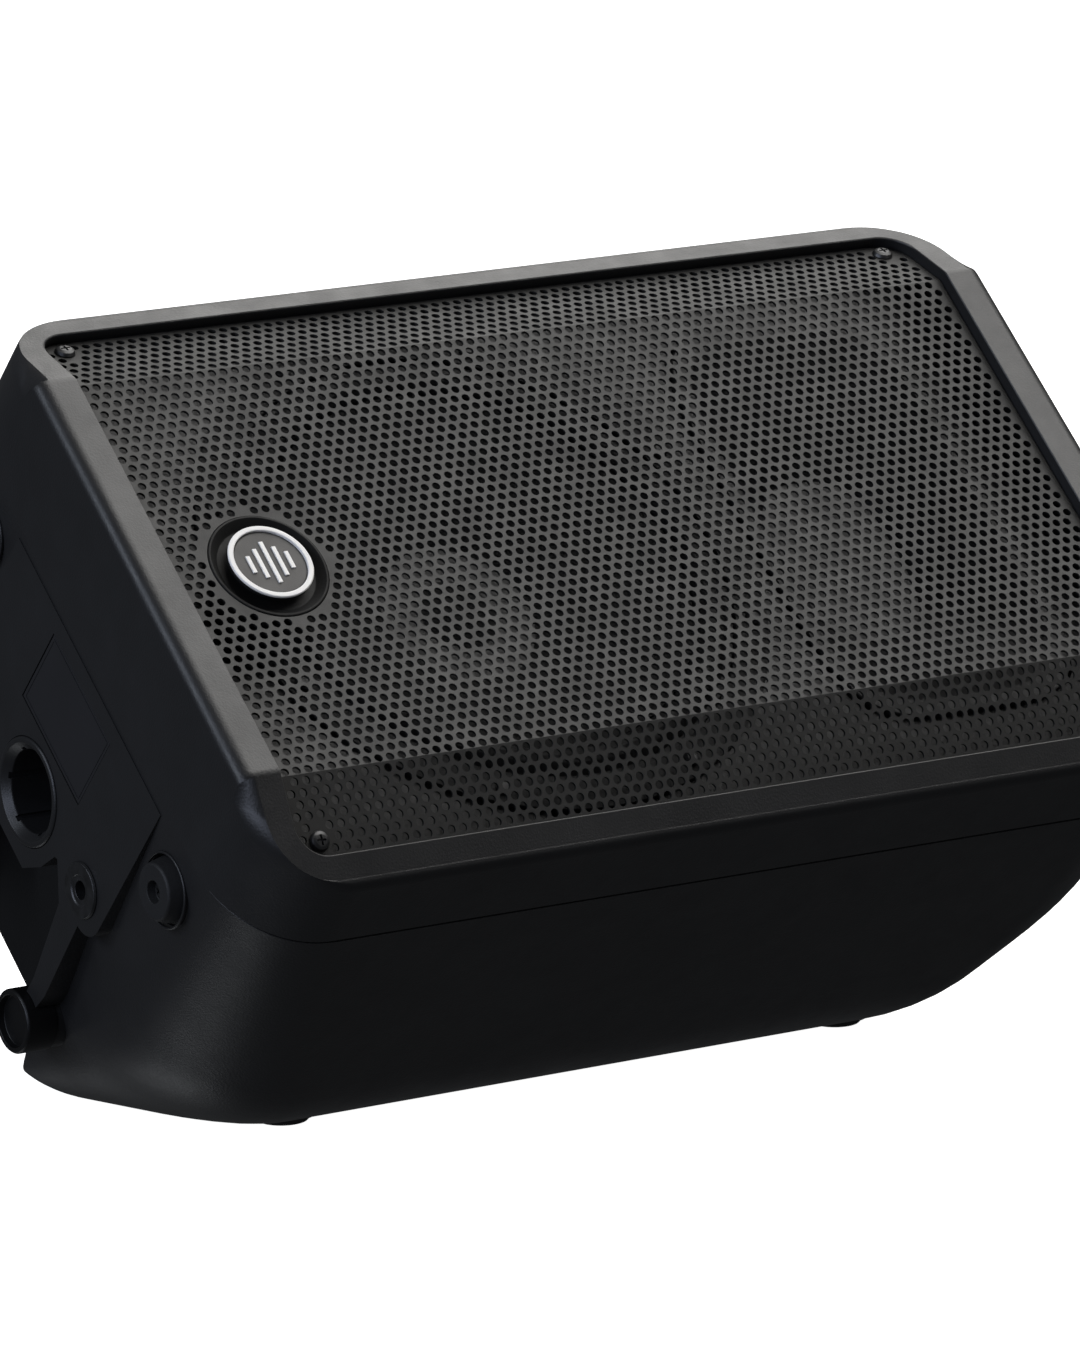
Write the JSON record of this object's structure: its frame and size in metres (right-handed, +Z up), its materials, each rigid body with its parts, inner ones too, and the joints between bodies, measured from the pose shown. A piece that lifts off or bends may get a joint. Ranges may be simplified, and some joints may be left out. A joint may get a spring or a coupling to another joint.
{
  "type": "stage monitor wedge",
  "caption": "Powered two-way loudspeaker in a moulded cabinet, lying on its slanted rest side as a stage monitor, with a perforated front grille and a pole socket in one end.",
  "frame": {"origin": "centre of the bounding box at floor level, with the cabinet lying as a wedge", "axes": "+X along the cabinet from its bottom end to its top end, +Z up, -Y towards the listener"},
  "size_m": [0.4934, 0.3502, 0.3459],
  "materials": {
    "cabinet_plastic": "fine leather-like texture, satin",
    "grille_paint": "satin powder coat",
    "black_zinc": "black zinc, satin",
    "black_rubber": "matt",
    "badge_plastic": "satin",
    "cone_paper": "matt, coated",
    "basket_steel": "satin",
    "magnet_ferrite": "matt",
    "amp_panel_paint": "fine texture",
    "heatsink_alloy": "black anodised",
    "control_plastic": "semi-gloss",
    "lens_plastic": "clear green",
    "label_film": "satin, blank",
    "board_laminate": "satin"
  },
  "bodies": {
    "cabinet": {"amp_chassis": "black_zinc", "amp_panel": "amp_panel_paint", "badge_cup": "control_plastic", "carry_handle": "cabinet_plastic", "circuit_board": "board_laminate", "compression_driver": "magnet_ferrite", "front_foot_1": "black_rubber", "front_foot_2": "black_rubber", "front_shell": "cabinet_plastic", "grille": "grille_paint", "grille_screw_1": "black_zinc", "grille_screw_2": "black_zinc", "grille_screw_3": "black_zinc", "grille_screw_4": "black_zinc", "heat_sink": "heatsink_alloy", "horn": "cabinet_plastic", "input_socket_1": "control_plastic", "input_socket_2": "control_plastic", "label_plate": "label_film", "limit_lamp": "lens_plastic", "link_socket": "control_plastic", "panel_screw_1": "black_zinc", "panel_screw_2": "black_zinc", "panel_screw_3": "black_zinc", "panel_screw_4": "black_zinc", "pole_cup": "cabinet_plastic", "power_inlet": "control_plastic", "power_lamp": "lens_plastic", "rear_foot_1": "black_rubber", "rear_foot_2": "black_rubber", "rear_shell": "cabinet_plastic", "rest_foot_1": "black_rubber", "rest_foot_2": "black_rubber", "rest_foot_3": "black_rubber", "rest_foot_4": "black_rubber", "rigging_insert_1": "black_zinc", "rigging_insert_2": "black_zinc", "rigging_insert_3": "black_zinc", "rigging_insert_4": "black_zinc", "rocker_frame": "control_plastic", "transformer": "basket_steel", "woofer_frame": "basket_steel", "woofer_magnet": "magnet_ferrite", "woofer_surround": "black_rubber"},
    "badge_disc": {"badge": "badge_plastic"},
    "cone": {"woofer_cone": "cone_paper"},
    "knob_1": {"level_knob_1": "control_plastic"},
    "knob_2": {"level_knob_2": "control_plastic"},
    "power_key": {"power_rocker": "control_plastic"},
    "filter_key": {"filter_button": "control_plastic"},
    "contour_key": {"contour_button": "control_plastic"},
    "mix_key": {"mix_button": "control_plastic"}
  },
  "joints": [
    {"name": "badge_turn", "type": "hinge", "parent": "cabinet", "child": "badge_disc", "pos_m": [-0.17725, -0.07099, 0.2584], "axis": [0, -0.6561, 0.7547], "range_deg": [-90, 90]},
    {"name": "cone_travel", "type": "slide", "parent": "cabinet", "child": "cone", "axis": [0, -0.6561, 0.7547], "range_m": [-0.005, 0.005], "stiffness_N_per_m": 3000},
    {"name": "level_1_turn", "type": "hinge", "parent": "cabinet", "child": "knob_1", "pos_m": [-0.09825, 0.1051, 0.04974], "axis": [0, 0.6561, -0.7547], "range_deg": [-150, 150]},
    {"name": "level_2_turn", "type": "hinge", "parent": "cabinet", "child": "knob_2", "pos_m": [-0.06425, 0.1051, 0.04974], "axis": [0, 0.6561, -0.7547], "range_deg": [-150, 150]},
    {"name": "power_tip", "type": "hinge", "parent": "cabinet", "child": "power_key", "pos_m": [-0.14625, 0.08699, 0.034], "axis": [0, 0.7547, 0.6561], "range_deg": [0, 20]},
    {"name": "filter_press", "type": "slide", "parent": "cabinet", "child": "filter_key", "axis": [0, -0.6561, 0.7547], "range_m": [0, 0.0015], "stiffness_N_per_m": 150},
    {"name": "contour_press", "type": "slide", "parent": "cabinet", "child": "contour_key", "axis": [0, -0.6561, 0.7547], "range_m": [0, 0.0015], "stiffness_N_per_m": 150},
    {"name": "mix_press", "type": "slide", "parent": "cabinet", "child": "mix_key", "axis": [0, -0.6561, 0.7547], "range_m": [0, 0.0015], "stiffness_N_per_m": 150}
  ]
}
